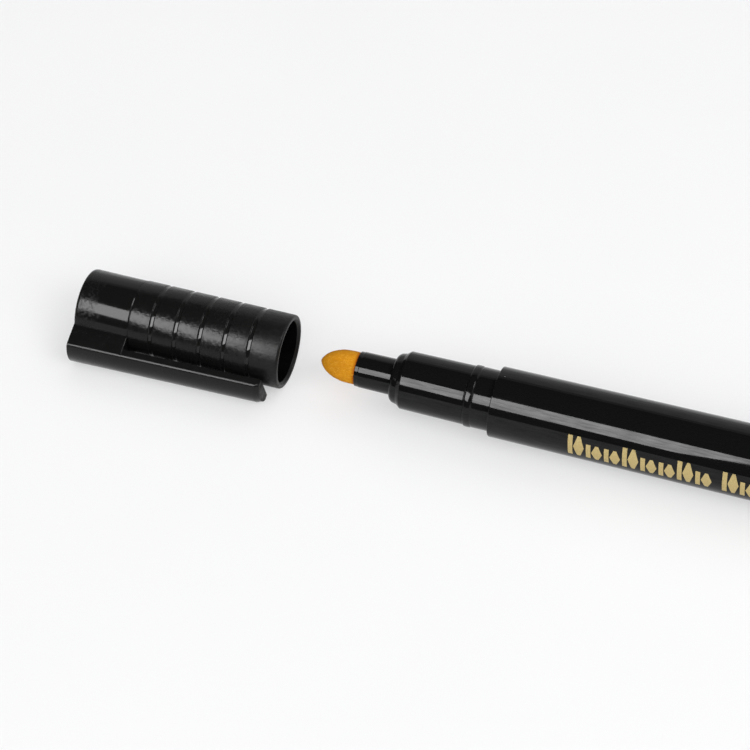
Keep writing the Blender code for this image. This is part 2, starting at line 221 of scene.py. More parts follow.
def spin_outline(name, origin_x, points, closed, *materials, steps=SPIN_STEPS, sharp=40):
    """Spins an outline round the pen's axis. Its points are in mm from origin_x and from the axis."""
    bm = bmesh.new()
    rings = []
    for step in range(steps):
        angle = 2 * math.pi * step / steps
        across, up = -math.sin(angle) * MM, math.cos(angle) * MM
        places = [(origin_x + p.x * MM, AXIS.y + p.y * across, AXIS.z + p.y * up) for p in points]
        rings.append([bm.verts.new(place) for place in places])
    count = len(points)
    for ring, following in zip(rings, rings[1:] + rings[:1]):
        for i in range(count if closed else count - 1):
            j = (i + 1) % count
            bm.faces.new((ring[i], ring[j], following[j], following[i]))
    bmesh.ops.remove_doubles(bm, verts=bm.verts, dist=1e-7)
    bmesh.ops.recalc_face_normals(bm, faces=bm.faces)
    obj = new_object(name, bm, *materials)
    obj.data.shade_smooth()
    obj.data.set_sharp_from_angle(angle=math.radians(sharp))
    return obj


# %% [markdown]
# Geometry Nodes and materials are both node trees, so one small function serves both: it adds a node, sets
# its options, and fills each input either with a number or with a wire from another node. The rest are
# short names for what is used most: noise of a size in mm, a change of range, relief in micrometres, and a
# two-colour ramp.

# %% Node helpers
def add(tree, kind, inputs=None, **options):
    node = tree.nodes.new(kind)
    for name, value in options.items():
        setattr(node, name, value)
    for name, value in (inputs or {}).items():
        socket = node.inputs[name]
        if isinstance(value, bpy.types.NodeSocket):
            tree.links.new(value, socket)
        else:
            socket.default_value = value
    return node


def maths(tree, operation, *values):
    return add(tree, "ShaderNodeMath", dict(enumerate(values)), operation=operation).outputs[0]


def start_material(name, colour, roughness, **constants):
    """A Principled material, with its constants set on the shader's own sockets."""
    material = bpy.data.materials.new(name)
    material.use_nodes = True
    shader = material.node_tree.nodes["Principled BSDF"]
    shader.inputs["Base Color"].default_value = (*colour, 1)
    shader.inputs["Roughness"].default_value = roughness
    for name, value in constants.items():
        shader.inputs[name.replace("_", " ")].default_value = value
    return material, material.node_tree, shader


def object_place(tree, stretch=(1, 1, 1)):
    """Object coordinates, stretched where a pattern has a direction."""
    coordinates = add(tree, "ShaderNodeTexCoord")
    mapping = add(tree, "ShaderNodeMapping", {"Vector": coordinates.outputs["Object"], "Scale": stretch})
    return mapping.outputs[0]


def noise(tree, place, size, detail=2.0, rough=0.5):
    """Noise whose features are about this many mm across."""
    inputs = {"Vector": place, "Scale": 1 / (size * MM), "Detail": detail, "Roughness": rough}
    return add(tree, "ShaderNodeTexNoise", inputs).outputs[0]


def remap(tree, value, low, high, to_low, to_high):
    inputs = {"Value": value, "From Min": low, "From Max": high, "To Min": to_low, "To Max": to_high}
    return add(tree, "ShaderNodeMapRange", inputs).outputs[0]


def two_colours(tree, value, low, low_colour, high, high_colour):
    """A ramp from one colour to another, between two levels of a value."""
    ramp = add(tree, "ShaderNodeValToRGB", {"Fac": value})
    ends = ramp.color_ramp.elements
    for end, level, colour in ((ends[0], low, low_colour), (ends[1], high, high_colour)):
        end.position = level
        end.color = (*colour, 1)
    return ramp.outputs[0]


def bump(tree, shader, height, depth_um, under=None):
    """Adds relief of this many micrometres, over another bump if one is given."""
    inputs = {"Height": height, "Distance": depth_um * 1e-6, "Strength": 1.0}
    if under:
        inputs["Normal"] = under.outputs[0]
    node = add(tree, "ShaderNodeBump", inputs)
    tree.links.new(node.outputs[0], shader.inputs["Normal"])
    return node


# %% [markdown]
# A Geometry Nodes tree is a recipe with named inputs. The first helper makes an empty tree with those
# inputs. The second ends it with real geometry and a material. The third runs it on an empty object and
# keeps only the plain mesh that comes out.

# %% Geometry Nodes helpers
SOCKET_TYPES = {int: "NodeSocketInt", float: "NodeSocketFloat", bpy.types.Material: "NodeSocketMaterial"}


def start_recipe(name, **inputs):
    tree = bpy.data.node_groups.new(name, "GeometryNodeTree")
    for key, value in inputs.items():
        kind = bpy.types.Material if isinstance(value, bpy.types.Material) else type(value)
        label = key.replace("_", " ")
        socket = tree.interface.new_socket(label, in_out="INPUT", socket_type=SOCKET_TYPES[kind])
        if kind is not bpy.types.Material:
            socket.default_value = value
    tree.interface.new_socket("Geometry", in_out="OUTPUT", socket_type="NodeSocketGeometry")
    return tree, tree.nodes.new("NodeGroupInput").outputs


def end_recipe(tree, geometry, material):
    real = add(tree, "GeometryNodeRealizeInstances", {"Geometry": geometry})
    painted = add(tree, "GeometryNodeSetMaterial", {"Geometry": real.outputs[0], "Material": material})
    add(tree, "NodeGroupOutput", {"Geometry": painted.outputs[0]})


def follow_recipe(name, tree, **values):
    obj = new_object(name, bmesh.new())
    modifier = obj.modifiers.new("recipe", "NODES")
    modifier.node_group = tree
    for item in tree.interface.items_tree:
        key = item.name.replace(" ", "_")
        if item.in_out == "INPUT" and key in values:
            modifier[item.identifier] = values[key]
    obj = finished(obj)
    print(name, "faces:", len(obj.data.polygons))
    return obj


def finished(obj, *modifiers):
    """Applies the object's modifiers, and any given as (type, settings), and leaves a plain mesh."""
    for kind, settings in modifiers:
        modifier = obj.modifiers.new(kind.lower(), kind)
        for name, value in settings.items():
            setattr(modifier, name, value)
    graph = bpy.context.evaluated_depsgraph_get()
    mesh = bpy.data.meshes.new_from_object(obj.evaluated_get(graph))
    obj.modifiers.clear()
    obj.data = mesh
    return obj


# %% [markdown]
# ### Table
#
# The table is a plain pale sheet, far larger than the view so that no edge shows. Like a lit sheet of opal
# acrylic it glows a little, which keeps the shadows faint, and a hint of mottling stops it from looking
# like empty space. It is not attached to the pen or the cap.

# %% Make the table
table_white, tree, shader = start_material("table_white", (0.46, 0.46, 0.462), 0.8, Specular_IOR_Level=0.2)
shader.inputs["Emission Color"].default_value = (0.995, 0.995, 1.0, 1)
shader.inputs["Emission Strength"].default_value = 0.435
mottle = noise(tree, object_place(tree), 40.0)
tint = two_colours(tree, mottle, 0, (0.450, 0.451, 0.454), 1, (0.470, 0.470, 0.472))
tree.links.new(tint, shader.inputs["Base Color"])
bm = bmesh.new()
bmesh.ops.create_grid(bm, x_segments=4, y_segments=4, size=6.0)
table = new_object("table", bm, table_white)

# %% [markdown]
# ## Finishes
#
# ### Gloss black
#
# The barrel and the grip come out of polished moulds. Real polish is never perfect: long, shallow flow
# marks bend the reflections a little, handling leaves faint smears that change the roughness, and a thin
# streaky film changes how much is reflected. A few specks of dust always sit on black gloss: they are the
# centres of a few cells of a Voronoi pattern.

# %% Gloss black plastic
GLOSS_LEVEL = 0.18
DEEP_BLACK = (0.0050, 0.0050, 0.0050)
DUST_GREY = (0.30, 0.30, 0.29)
gloss_black, tree, shader = start_material(
    "gloss_black_moulding", DEEP_BLACK, 0.07, Specular_IOR_Level=GLOSS_LEVEL
)
place = object_place(tree)
smears = noise(tree, object_place(tree, (0.35, 1, 1)), 3.2, detail=4.0)
tree.links.new(remap(tree, smears, 0.35, 0.75, 0.03, 0.10), shader.inputs["Roughness"])
flow = bump(tree, shader, noise(tree, object_place(tree, (0.25, 1, 1)), 2.4), 5.0)
bump(tree, shader, noise(tree, place, 0.09), 0.12, under=flow)
streaks = noise(tree, object_place(tree, (0.10, 1, 1)), 0.32, detail=3.0, rough=0.65)
film = remap(tree, streaks, 0.3, 0.7, 0.72 * GLOSS_LEVEL, 1.28 * GLOSS_LEVEL)
tree.links.new(film, shader.inputs["Specular IOR Level"])
CELL, SPECK_SHARE, CLEAN_SHARE = 2.2 * MM, 0.045, 0.90
cells = add(tree, "ShaderNodeTexVoronoi", {"Vector": place, "Scale": 1 / CELL})
near_centre = maths(tree, "LESS_THAN", cells.outputs["Distance"], SPECK_SHARE)
cell_tint = add(tree, "ShaderNodeSeparateColor", {"Color": cells.outputs["Color"]})
is_dusty = maths(tree, "GREATER_THAN", cell_tint.outputs[0], CLEAN_SHARE)
dust = maths(tree, "MULTIPLY", near_centre, is_dusty)
dusted = add(tree, "ShaderNodeMix", {0: dust}, data_type="RGBA")
dusted.inputs[6].default_value = (*DEEP_BLACK, 1)
dusted.inputs[7].default_value = (*DUST_GREY, 1)
tree.links.new(dusted.outputs[2], shader.inputs["Base Color"])

# %% [markdown]
# ### Satin black
#
# The cap's mould is spark-eroded, which prints a fine grain on the plastic. The grain is two sizes of noise
# bump: it breaks the softbox's stripe into a soft, ragged band instead of a clean one. Fingers polish a cap
# towards its closed end, where it is pulled off, so the roughness falls along its length.

# %% Satin black plastic
SATIN_MATT_END = cap_high.x - 1.5 * MM
SATIN_POLISHED_END = cap_low.x + 9 * MM
satin_black, tree, shader = start_material(
    "spark_eroded_black", (0.0058, 0.0058, 0.0057), 0.25, Specular_IOR_Level=GLOSS_LEVEL
)
place = object_place(tree)
grain = noise(tree, place, 0.17)
coarse = noise(tree, place, 0.50)
along = add(tree, "ShaderNodeSeparateXYZ", {"Vector": place}).outputs["X"]
unhandled = remap(tree, along, SATIN_POLISHED_END, SATIN_MATT_END, 0.0, 1.0)
rough = remap(tree, maths(tree, "POWER", unhandled, 2.2), 0, 1, 0.19, 0.40)
rough = maths(tree, "ADD", rough, remap(tree, coarse, 0.3, 0.7, -0.06, 0.06))
tree.links.new(rough, shader.inputs["Roughness"])
under = bump(tree, shader, coarse, 36.0)
bump(tree, shader, grain, 11.0, under=under)

# %% [markdown]
# The rings are cut into the mould with a polished tool, so their floors are smooth and flash where the rest
# is dull. The closed end and the clip are smoother than the tube too, and the sheared tip of the clip is
# dull.

# %% Polished rings and smoother parts
ring_black, tree, shader = start_material(
    "polished_ring_black", (0.0070, 0.0070, 0.0068), 0.08, Specular_IOR_Level=0.24
)
wear = noise(tree, object_place(tree), 1.2)
tree.links.new(remap(tree, wear, 0.3, 0.7, 0.05, 0.12), shader.inputs["Roughness"])
bump(tree, shader, noise(tree, object_place(tree), 0.3), 0.3)


def smoother_black(name, roughness, grain_um):
    """Black plastic with this roughness, a quarter more or less in patches, and a shallow grain."""
    material, tree, shader = start_material(
        name, (0.0060, 0.0060, 0.0059), roughness, Specular_IOR_Level=GLOSS_LEVEL
    )
    place = object_place(tree)
    patchy = noise(tree, place, 1.1, detail=3.0)
    patches = remap(tree, patchy, 0.35, 0.65, roughness * 0.75, roughness * 1.25)
    tree.links.new(patches, shader.inputs["Roughness"])
    under = bump(tree, shader, noise(tree, place, 0.5), grain_um)
    bump(tree, shader, noise(tree, place, 0.13), grain_um, under=under)
    return material


clip_black = smoother_black("clip_black", 0.22, 0.9)
tip_black = smoother_black("clip_tip_black", 0.50, 0.4)
tip_black.node_tree.nodes["Principled BSDF"].inputs["Specular IOR Level"].default_value = 0.16
head_black = smoother_black("closed_end_black", 0.11, 1.0)

# %% [markdown]
# The last few millimetres of the closed end are rubbed dull by pockets and desks. The border between dull
# and polished is ragged: a noise is added to the length before it chooses between the two roughnesses. The
# bore is seen only from its mouth, where its inside lies in shade, so its black is painted shade: the
# deepest and dullest black, with the weakest reflection.

# %% Rubbed end and bore
RUBBED_ALL, RUBBED_NONE = cap_low.x + 3.2 * MM, cap_low.x + 4.6 * MM
RAGGED = 1.2 * MM
tree = head_black.node_tree
shader = tree.nodes["Principled BSDF"]
place = object_place(tree)
along = add(tree, "ShaderNodeSeparateXYZ", {"Vector": place}).outputs["X"]
wander = remap(tree, noise(tree, place, 1.3, detail=3.0), 0.3, 0.7, -RAGGED, RAGGED)
ragged = maths(tree, "ADD", along, wander)
near_end = remap(tree, ragged, RUBBED_ALL, RUBBED_NONE, 1.0, 0.0)
speckle = remap(tree, noise(tree, place, 0.45), 0.35, 0.65, 0.13, 0.38)
polished = shader.inputs["Roughness"].links[0].from_socket
mixed = add(tree, "ShaderNodeMix", {0: near_end, 2: polished, 3: speckle})
tree.links.new(mixed.outputs[0], shader.inputs["Roughness"])

# Painted shade: the bore's base colour is darker and its reflection weaker than the cap's own plastic, so the
# inside of the mouth reads as shade.
bore_black, tree, shader = start_material(
    "bore_black", (0.0012, 0.0012, 0.0012), 0.45, Specular_IOR_Level=0.06
)
draw_marks = noise(tree, object_place(tree, (0.1, 1, 1)), 0.5)
tree.links.new(remap(tree, draw_marks, 0.3, 0.7, 0.35, 0.6), shader.inputs["Roughness"])
bump(tree, shader, draw_marks, 4.0)

# %% [markdown]
# ### Amber felt
#
# The nib is a bundle of fine fibres pressed to a bullet and soaked in amber ink. Stretched noise gives
# fibres that run along the pen; the colour turns darker over the last half millimetre before the nozzle.

# %% Felt
NIB_RIM = section_low.x
RIM_DARK_BAND = 0.55 * MM
FIBRE_SHARE, BLOTCH_SHARE = 0.55, 0.45
felt, tree, shader = start_material("amber_felt", (0.52, 0.21, 0.006), 0.75, Specular_IOR_Level=0.03)
fibres = noise(tree, object_place(tree, (0.22, 1, 1)), 0.10, detail=3.0, rough=0.6)
blotches = noise(tree, object_place(tree), 0.9, detail=3.0)
fine_part = maths(tree, "MULTIPLY", fibres, FIBRE_SHARE)
mixed = maths(tree, "ADD", fine_part, maths(tree, "MULTIPLY", blotches, BLOTCH_SHARE))
tint = two_colours(tree, mixed, 0.27, (0.51, 0.182, 0.004), 0.73, (0.65, 0.295, 0.016))
# Darker over the last 0.55 mm before the nozzle's rim, and inside the nozzle.
split = add(tree, "ShaderNodeSeparateXYZ", {"Vector": object_place(tree)})
near_rim = remap(tree, split.outputs["X"], NIB_RIM - RIM_DARK_BAND, NIB_RIM, 0.0, 1.0)
darken = add(tree, "ShaderNodeMix", {0: near_rim}, data_type="RGBA")
darken.inputs[7].default_value = (0.34, 0.065, 0.002, 1)
tree.links.new(tint, darken.inputs[6])
tree.links.new(darken.outputs[2], shader.inputs["Base Color"])
bump(tree, shader, fibres, 5.5)

# %% [markdown]
# ### Gold foil
#
# Hot-stamped foil is a metal film, so it is a metallic material. It is slightly orange-peeled and has
# pinholes and thin spots, which the noise on its colour and roughness gives.

# %% Foil
foil, tree, shader = start_material("gold_foil", (0.55, 0.42, 0.18), 0.38, Metallic=1.0)
place = object_place(tree)
thin_spots = noise(tree, place, 0.22, detail=3.0)
tint = two_colours(tree, thin_spots, 0.3, (0.49, 0.385, 0.17), 0.7, (0.60, 0.475, 0.225))
tree.links.new(tint, shader.inputs["Base Color"])
tree.links.new(remap(tree, noise(tree, place, 0.5), 0.3, 0.7, 0.32, 0.5), shader.inputs["Roughness"])
bump(tree, shader, noise(tree, place, 0.16), 3.0)

# %% [markdown]
# ### Inside finishes
#
# The ink rod, its film and the cap's seal hardly show, but they are there when the pieces come apart, so
# each has its own finish: inked fibre, clear film, and milky unpigmented plastic.

# %% Fibre, film and seal
inked_fibre, tree, shader = start_material("inked_fibre", (0.62, 0.38, 0.10), 0.85)
strands = noise(tree, object_place(tree, (0.06, 1, 1)), 0.08, detail=3.0)
tint = two_colours(tree, strands, 0, (0.50, 0.26, 0.05), 1, (0.80, 0.60, 0.28))
tree.links.new(tint, shader.inputs["Base Color"])
bump(tree, shader, strands, 20.0)

clear_film, tree, shader = start_material("clear_film", (0.86, 0.86, 0.82), 0.15, Transmission_Weight=0.7)
wrinkles = noise(tree, object_place(tree, (0.3, 1, 1)), 1.5)
tree.links.new(remap(tree, wrinkles, 0.3, 0.7, 0.10, 0.25), shader.inputs["Roughness"])
bump(tree, shader, noise(tree, object_place(tree), 2.0), 6.0)

seal_white, tree, shader = start_material("natural_seal", (0.52, 0.52, 0.50), 0.4, IOR=1.5)
cloudy = noise(tree, object_place(tree), 0.8)
tree.links.new(remap(tree, cloudy, 0.3, 0.7, 0.34, 0.48), shader.inputs["Roughness"])
bump(tree, shader, noise(tree, object_place(tree), 0.25), 1.5)

# %% [markdown]
# ## The pen
#
# ### Barrel
#
# A long tapered tube, as thick as the cap at its rear so that the closed pen is one smooth line. The neck
# is seated in a small step inside its mouth.

# %% Spin the barrel
BARREL_FRONT_R = 5.50
BARREL_WALL = 1.10
NECK_R = 4.74
NECK_SEAT = 1.3
CAP_R_MM = CAP_R / MM
length = BARREL_LENGTH / MM
barrel_outline = [
    (0, NECK_R + 0.04, 0.04),
    (0, BARREL_FRONT_R, 0.16),
    (length, CAP_R_MM, 0.25),
    (length, CAP_R_MM - BARREL_WALL, 0.1),
    (NECK_SEAT, BARREL_FRONT_R - BARREL_WALL, 0.05),
    (NECK_SEAT, NECK_R + 0.04, 0.05),
]
barrel = spin_outline("barrel_tube", SHOULDER, eased(barrel_outline, closed=True), True, gloss_black)
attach(barrel, "pen")
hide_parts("barrel")
print("barrel length", round(length, 1), "mm")

# %% [markdown]
# ### Foil marks
#
# Two rows of gold marks are hot-stamped along the barrel. They carry no words: each is an upright bar with
# a lozenge beside it, tall at every third place. Geometry Nodes repeat one flat mark along a line, and one
# Set Position wraps the row round the barrel, just proud of its taper, so the foil really follows the
# plastic.

# %% Foil recipe
recipe, given = start_recipe(
    "foil_marks",
    Marks=8, Start=0.0127, Pitch=0.0028, Tall=0.0039, Short_share=0.74, Slant=-0.06,
    Baseline_angle=-0.28, Front_radius=0.0055, Taper=0.004, Proud=0.000012, Foil=foil,
)


def flat_mark(tree, low, width, pinch):
    """A flat upright mark, one metre tall until it is scaled, narrowed towards both ends by pinch."""
    size = {"Size X": width, "Size Y": 1.0, "Vertices X": 3, "Vertices Y": 13}
    grid = add(tree, "GeometryNodeMeshGrid", size)
    spot = add(tree, "ShaderNodeSeparateXYZ", {"Vector": add(tree, "GeometryNodeInputPosition").outputs[0]})
    pinched = maths(tree, "MULTIPLY", maths(tree, "ABSOLUTE", spot.outputs["Y"]), 2 * pinch)
    narrowed = maths(tree, "MULTIPLY", spot.outputs["X"], maths(tree, "SUBTRACT", 1.0, pinched))
    shaped = add(tree, "ShaderNodeCombineXYZ", {"X": narrowed, "Y": spot.outputs["Y"]})
    mark = add(tree, "GeometryNodeSetPosition", {"Geometry": grid.outputs[0], "Position": shaped.outputs[0]})
    shift = {"Geometry": mark.outputs[0], "Translation": (low + width / 2, 0.5, 0)}
    return add(tree, "GeometryNodeTransform", shift).outputs[0]


BAR = (0.0, 0.72 * MM, 0.0)
LOZENGE = (0.84 * MM, 1.66 * MM, 0.72)
mark = add(recipe, "GeometryNodeJoinGeometry")
for low, width, pinch in (BAR, LOZENGE):
    recipe.links.new(flat_mark(recipe, low, width, pinch), mark.inputs[0])
start = add(recipe, "ShaderNodeCombineXYZ", {"X": given["Start"]})
step = add(recipe, "ShaderNodeCombineXYZ", {"X": given["Pitch"]})
row = add(
    recipe,
    "GeometryNodeMeshLine",
    {"Count": given["Marks"], "Start Location": start.outputs[0], "Offset": step.outputs[0]},
)
index = add(recipe, "GeometryNodeInputIndex").outputs[0]
is_short = maths(recipe, "MINIMUM", maths(recipe, "MODULO", index, 3.0), 1.0)
share = add(recipe, "ShaderNodeMapRange", {"Value": is_short, "To Min": 1.0, "To Max": given["Short share"]})
height = maths(recipe, "MULTIPLY", share.outputs[0], given["Tall"])
stretch = add(recipe, "ShaderNodeCombineXYZ", {"X": 1.0, "Y": height, "Z": 1.0})
placed = add(
    recipe,
    "GeometryNodeInstanceOnPoints",
    {"Points": row.outputs[0], "Instance": mark.outputs[0], "Scale": stretch.outputs[0]},
)
flat = add(recipe, "GeometryNodeRealizeInstances", {"Geometry": placed.outputs[0]})

# %% [markdown]
# So far the row is flat. Now each point leans with its height, takes its distance from the axis from the
# barrel's taper, and is turned about the axis by its height divided by that radius.

# %% Wrap the foil round the barrel
spot = add(recipe, "ShaderNodeSeparateXYZ", {"Vector": add(recipe, "GeometryNodeInputPosition").outputs[0]})
leaned = maths(recipe, "ADD", spot.outputs["X"], maths(recipe, "MULTIPLY", spot.outputs["Y"], given["Slant"]))
widened = maths(recipe, "ADD", given["Front radius"], maths(recipe, "MULTIPLY", leaned, given["Taper"]))
radius = maths(recipe, "ADD", widened, given["Proud"])
angle = maths(recipe, "ADD", maths(recipe, "DIVIDE", spot.outputs["Y"], radius), given["Baseline angle"])
across = maths(recipe, "MULTIPLY", maths(recipe, "COSINE", angle), radius)
up = maths(recipe, "MULTIPLY", maths(recipe, "SINE", angle), radius)
wrapped = add(
    recipe,
    "ShaderNodeCombineXYZ",
    {
        "X": maths(recipe, "ADD", leaned, SHOULDER),
        "Y": maths(recipe, "SUBTRACT", AXIS.y, across),
        "Z": maths(recipe, "ADD", up, AXIS.z),
    },
)
bent = add(recipe, "GeometryNodeSetPosition", {"Geometry": flat.outputs[0], "Position": wrapped.outputs[0]})
end_recipe(recipe, bent.outputs[0], given["Foil"])
taper = (CAP_R_MM - BARREL_FRONT_R) / length
for name, start_at, pitch in (("foil_marks_first", 12.85, 2.80), ("foil_marks_second", 36.5, 2.72)):
    marks = follow_recipe(name, recipe, Start=start_at * MM, Pitch=pitch * MM, Taper=taper, Foil=foil)
    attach(marks, "pen")

# %% [markdown]
# ### Front section
#
# One moulding carries everything in front of the barrel: the skirt hidden inside it, the neck that the cap
# closes on with its small snap ridge, the grip, a rounded nose and the nozzle round the nib. Its outline is
# one closed loop, outside and inside, so the piece has real walls. The nose is a short chamfer and a
# rounded cone.

# %% Spin the front section
SEAT = 1.0
SKIRT_R, SKIRT_BORE_R = 4.30, 3.45
NIB_SOCKET_END, NIB_SOCKET_R = -12.7, 2.2
SKIRT_END = (section_high.x - SHOULDER) / MM
NOZZLE_END = (section_low.x - SHOULDER) / MM
RIDGE_REAR, RIDGE_FRONT = -2.95, -4.2
GRIP_FRONT, NOZZLE_ROOT = -14.4, -16.3
GRIP_REAR_R, GRIP_FRONT_R = 4.62, 4.53
NOZZLE_R, LIP_R = 2.80, 2.62
nose = [
    (GRIP_FRONT, GRIP_FRONT_R, 0.08),
    (GRIP_FRONT - 0.62, 4.06, 0.10),
    (NOZZLE_ROOT + 0.45, 3.86, 0.18),
]
section_outline = [
    (SKIRT_END, SKIRT_BORE_R, 0),
    (SKIRT_END, SKIRT_R, 0.3),
    (SEAT, SKIRT_R, 0),
    (SEAT, NECK_R, 0),
    (RIDGE_REAR + 0.12, NECK_R, 0.06),
    (RIDGE_REAR, NECK_R - 0.07, 0.04),
    (RIDGE_REAR - 0.14, 4.80, 0.10),
    (RIDGE_REAR - 0.62, 4.86, 0.35),
    (RIDGE_FRONT + 0.14, 4.80, 0.10),
    (RIDGE_FRONT, GRIP_REAR_R - 0.05, 0.04),
    (RIDGE_FRONT - 0.14, GRIP_REAR_R, 0.06),
    *nose,
    (NOZZLE_ROOT, 3.52, 0.26),
    (NOZZLE_ROOT, NOZZLE_R + 0.05, 0.12),
    (NOZZLE_END + 0.62, NOZZLE_R, 0.06),
    (NOZZLE_END + 0.56, NOZZLE_R - 0.04, 0.03),
    (NOZZLE_END, NOZZLE_R - 0.06, 0.05),
    (NOZZLE_END, LIP_R, 0.04),
    (NOZZLE_END + 1.0, LIP_R, 0),
    (NOZZLE_END + 1.0, NIB_SOCKET_R, 0),
    (NIB_SOCKET_END, NIB_SOCKET_R, 0),
    (NIB_SOCKET_END, SKIRT_BORE_R, 0),
]
section = spin_outline("grip_and_nozzle", SHOULDER, eased(section_outline, closed=True), True, gloss_black)
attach(section, "pen")
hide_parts("front_section")

# %% [markdown]
# ### Nib
#
# The felt bullet is turned from a formula: a parabola raised to a power gives the full shoulder and the
# blunt point. Pressed fibre isn't perfectly smooth, so each point is moved a little by noise of two sizes.

# %% Turn the bullet
NIB_R, NIB_NOSE, NOSE_POWER = 2.55, 4.6, 0.62
SHANK_R = 2.1
NOSE_STEPS = 28
LUMPS_PER_METRE, FINE_LUMPS_PER_METRE = 900, 2600
tip = (nib_low.x - SHOULDER) / MM
shank_end = (nib_high.x - SHOULDER) / MM
bullet = []
for step in range(NOSE_STEPS + 1):
    share = (step / NOSE_STEPS) ** 1.9
    bullet.append(Vector((tip + NIB_NOSE * share, NIB_R * (1 - (1 - share) ** 2) ** NOSE_POWER)))
head_back = NOZZLE_END + 0.7
straight = [Vector((tip + NIB_NOSE + 0.4 * k, NIB_R)) for k in range(1, 5)]
shank = [(head_back, NIB_R), (head_back, SHANK_R), (shank_end, SHANK_R), (shank_end, 0)]
shank = [Vector(point) for point in shank]
nib = spin_outline("felt_nib", SHOULDER, bullet + straight + shank, False, felt, steps=96)
for vertex in nib.data.vertices:
    out = vertex.co - Vector((vertex.co.x, AXIS.y, AXIS.z))
    if vertex.co.x < NIB_RIM and out.length > 0.2 * MM:
        coarse_lump = lumps.noise(vertex.co * LUMPS_PER_METRE)
        lump = coarse_lump + 0.5 * lumps.noise(vertex.co * FINE_LUMPS_PER_METRE)
        vertex.co -= out.normalized() * (0.02 + 0.02 * lump) * MM
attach(nib, "pen")
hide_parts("nib")

# %% [markdown]
# A few hundred loose fibre ends lie on the felt, mostly along the pen. Geometry Nodes scatter short flat
# slivers over the bullet with a fixed seed, turn each by a small random angle, and lift it a hair's
# breadth.

# %% Fibre recipe
pale_felt, tree, shader = start_material(
    "amber_felt_fibre", (0.58, 0.25, 0.012), 0.8, Specular_IOR_Level=0.04
)
patches = noise(tree, object_place(tree), 0.35)
tint = two_colours(tree, patches, 0.35, (0.52, 0.190, 0.005), 0.65, (0.70, 0.350, 0.032))
tree.links.new(tint, shader.inputs["Base Color"])
recipe, given = start_recipe(
    "felt_fibres", Per_square_metre=9.0e6, Length=0.0007, Width=0.00006, Seed=4, Felt=felt
)
nib_source = add(recipe, "GeometryNodeObjectInfo", transform_space="ORIGINAL")
nib_source.inputs["Object"].default_value = nib
at = add(recipe, "GeometryNodeInputPosition").outputs[0]
at_x = add(recipe, "ShaderNodeSeparateXYZ", {"Vector": at}).outputs["X"]
showing = add(recipe, "FunctionNodeCompare", {"A": at_x, "B": NIB_RIM - 0.5 * MM}, operation="LESS_THAN")
scattered = add(
    recipe,
    "GeometryNodeDistributePointsOnFaces",
    {
        "Mesh": nib_source.outputs["Geometry"],
        "Selection": showing.outputs[0],
        "Density": given["Per square metre"],
        "Seed": given["Seed"],
    },
)
face_out = add(recipe, "FunctionNodeAlignRotationToVector", {"Vector": scattered.outputs["Normal"]}, axis="Z")
lie = add(
    recipe,
    "FunctionNodeAlignRotationToVector",
    {"Rotation": face_out.outputs[0], "Vector": (1, 0, 0)},
    axis="X",
    pivot_axis="Z",
)
stray = add(recipe, "FunctionNodeRandomValue", {"Seed": given["Seed"]}, data_type="FLOAT")
STRAY_ANGLE = 0.6
stray.inputs[2].default_value = -STRAY_ANGLE
stray.inputs[3].default_value = STRAY_ANGLE
yaw = add(recipe, "ShaderNodeCombineXYZ", {"Z": stray.outputs[1]})
spun = add(recipe, "FunctionNodeRotateRotation", rotation_space="LOCAL")
recipe.links.new(lie.outputs[0], spun.inputs[0])
recipe.links.new(yaw.outputs[0], spun.inputs[1])
sliver = add(
    recipe,
    "GeometryNodeMeshGrid",
    {"Size X": given["Length"], "Size Y": given["Width"], "Vertices X": 3, "Vertices Y": 2},
)
lifted = add(recipe, "GeometryNodeTransform", {"Geometry": sliver.outputs[0], "Translation": (0, 0, 6e-6)})
fibres = add(
    recipe,
    "GeometryNodeInstanceOnPoints",
    {"Points": scattered.outputs[0], "Instance": lifted.outputs[0], "Rotation": spun.outputs[0]},
)
end_recipe(recipe, fibres.outputs[0], given["Felt"])
loose = follow_recipe("felt_fibres", recipe, Felt=pale_felt)
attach(loose, "pen")

# %% [markdown]
# ## The cap
#
# ### Tube with grip rings
#
# A thimble with a thin wall. Five rings are repeated by a loop in its outline, so they are real grooves.
# The closed end is a hair thinner than the tube, behind a fine groove.

# %% Outline of the cap
RINGS, FIRST_RING, RING_PITCH, RING_WIDTH, RING_DEPTH = 5, -4.92, -4.01, 0.72, 0.17
HEAD_LENGTH, END_SHORTER_BY = 9.5, 0.45
HEAD_FRONT = HEAD_LENGTH - CAP_LENGTH / MM
CAP_END = END_SHORTER_BY - CAP_LENGTH / MM
CAP_BORE_R, CAP_FLOOR = 4.90, CAP_END + 0.75
HEAD_R = CAP_R_MM - 0.08
cap_outline = [
    (CAP_FLOOR, 0, 0),
    (CAP_FLOOR, CAP_BORE_R, 0.4),
    (-0.42, CAP_BORE_R, 0.06),
    (-0.16, 5.14, 0.08),
    (0, 5.22, 0.10),
    (0, CAP_R_MM, 0.42),
]
for i in range(RINGS):
    middle = FIRST_RING + RING_PITCH * i
    half = RING_WIDTH / 2
    floor = CAP_R_MM - RING_DEPTH
    cap_outline += [
        (middle + half, CAP_R_MM, 0.07),
        (middle + half - 0.13, floor, 0.05),
        (middle - half + 0.13, floor, 0.05),
        (middle - half, CAP_R_MM, 0.07),
    ]
cap_outline += [
    (HEAD_FRONT + 0.10, CAP_R_MM, 0.05),
    (HEAD_FRONT, HEAD_R - 0.10, 0.03),
    (HEAD_FRONT - 0.16, HEAD_R, 0.05),
    (CAP_END, HEAD_R, 0.60),
    (CAP_END, 0, 0),
]
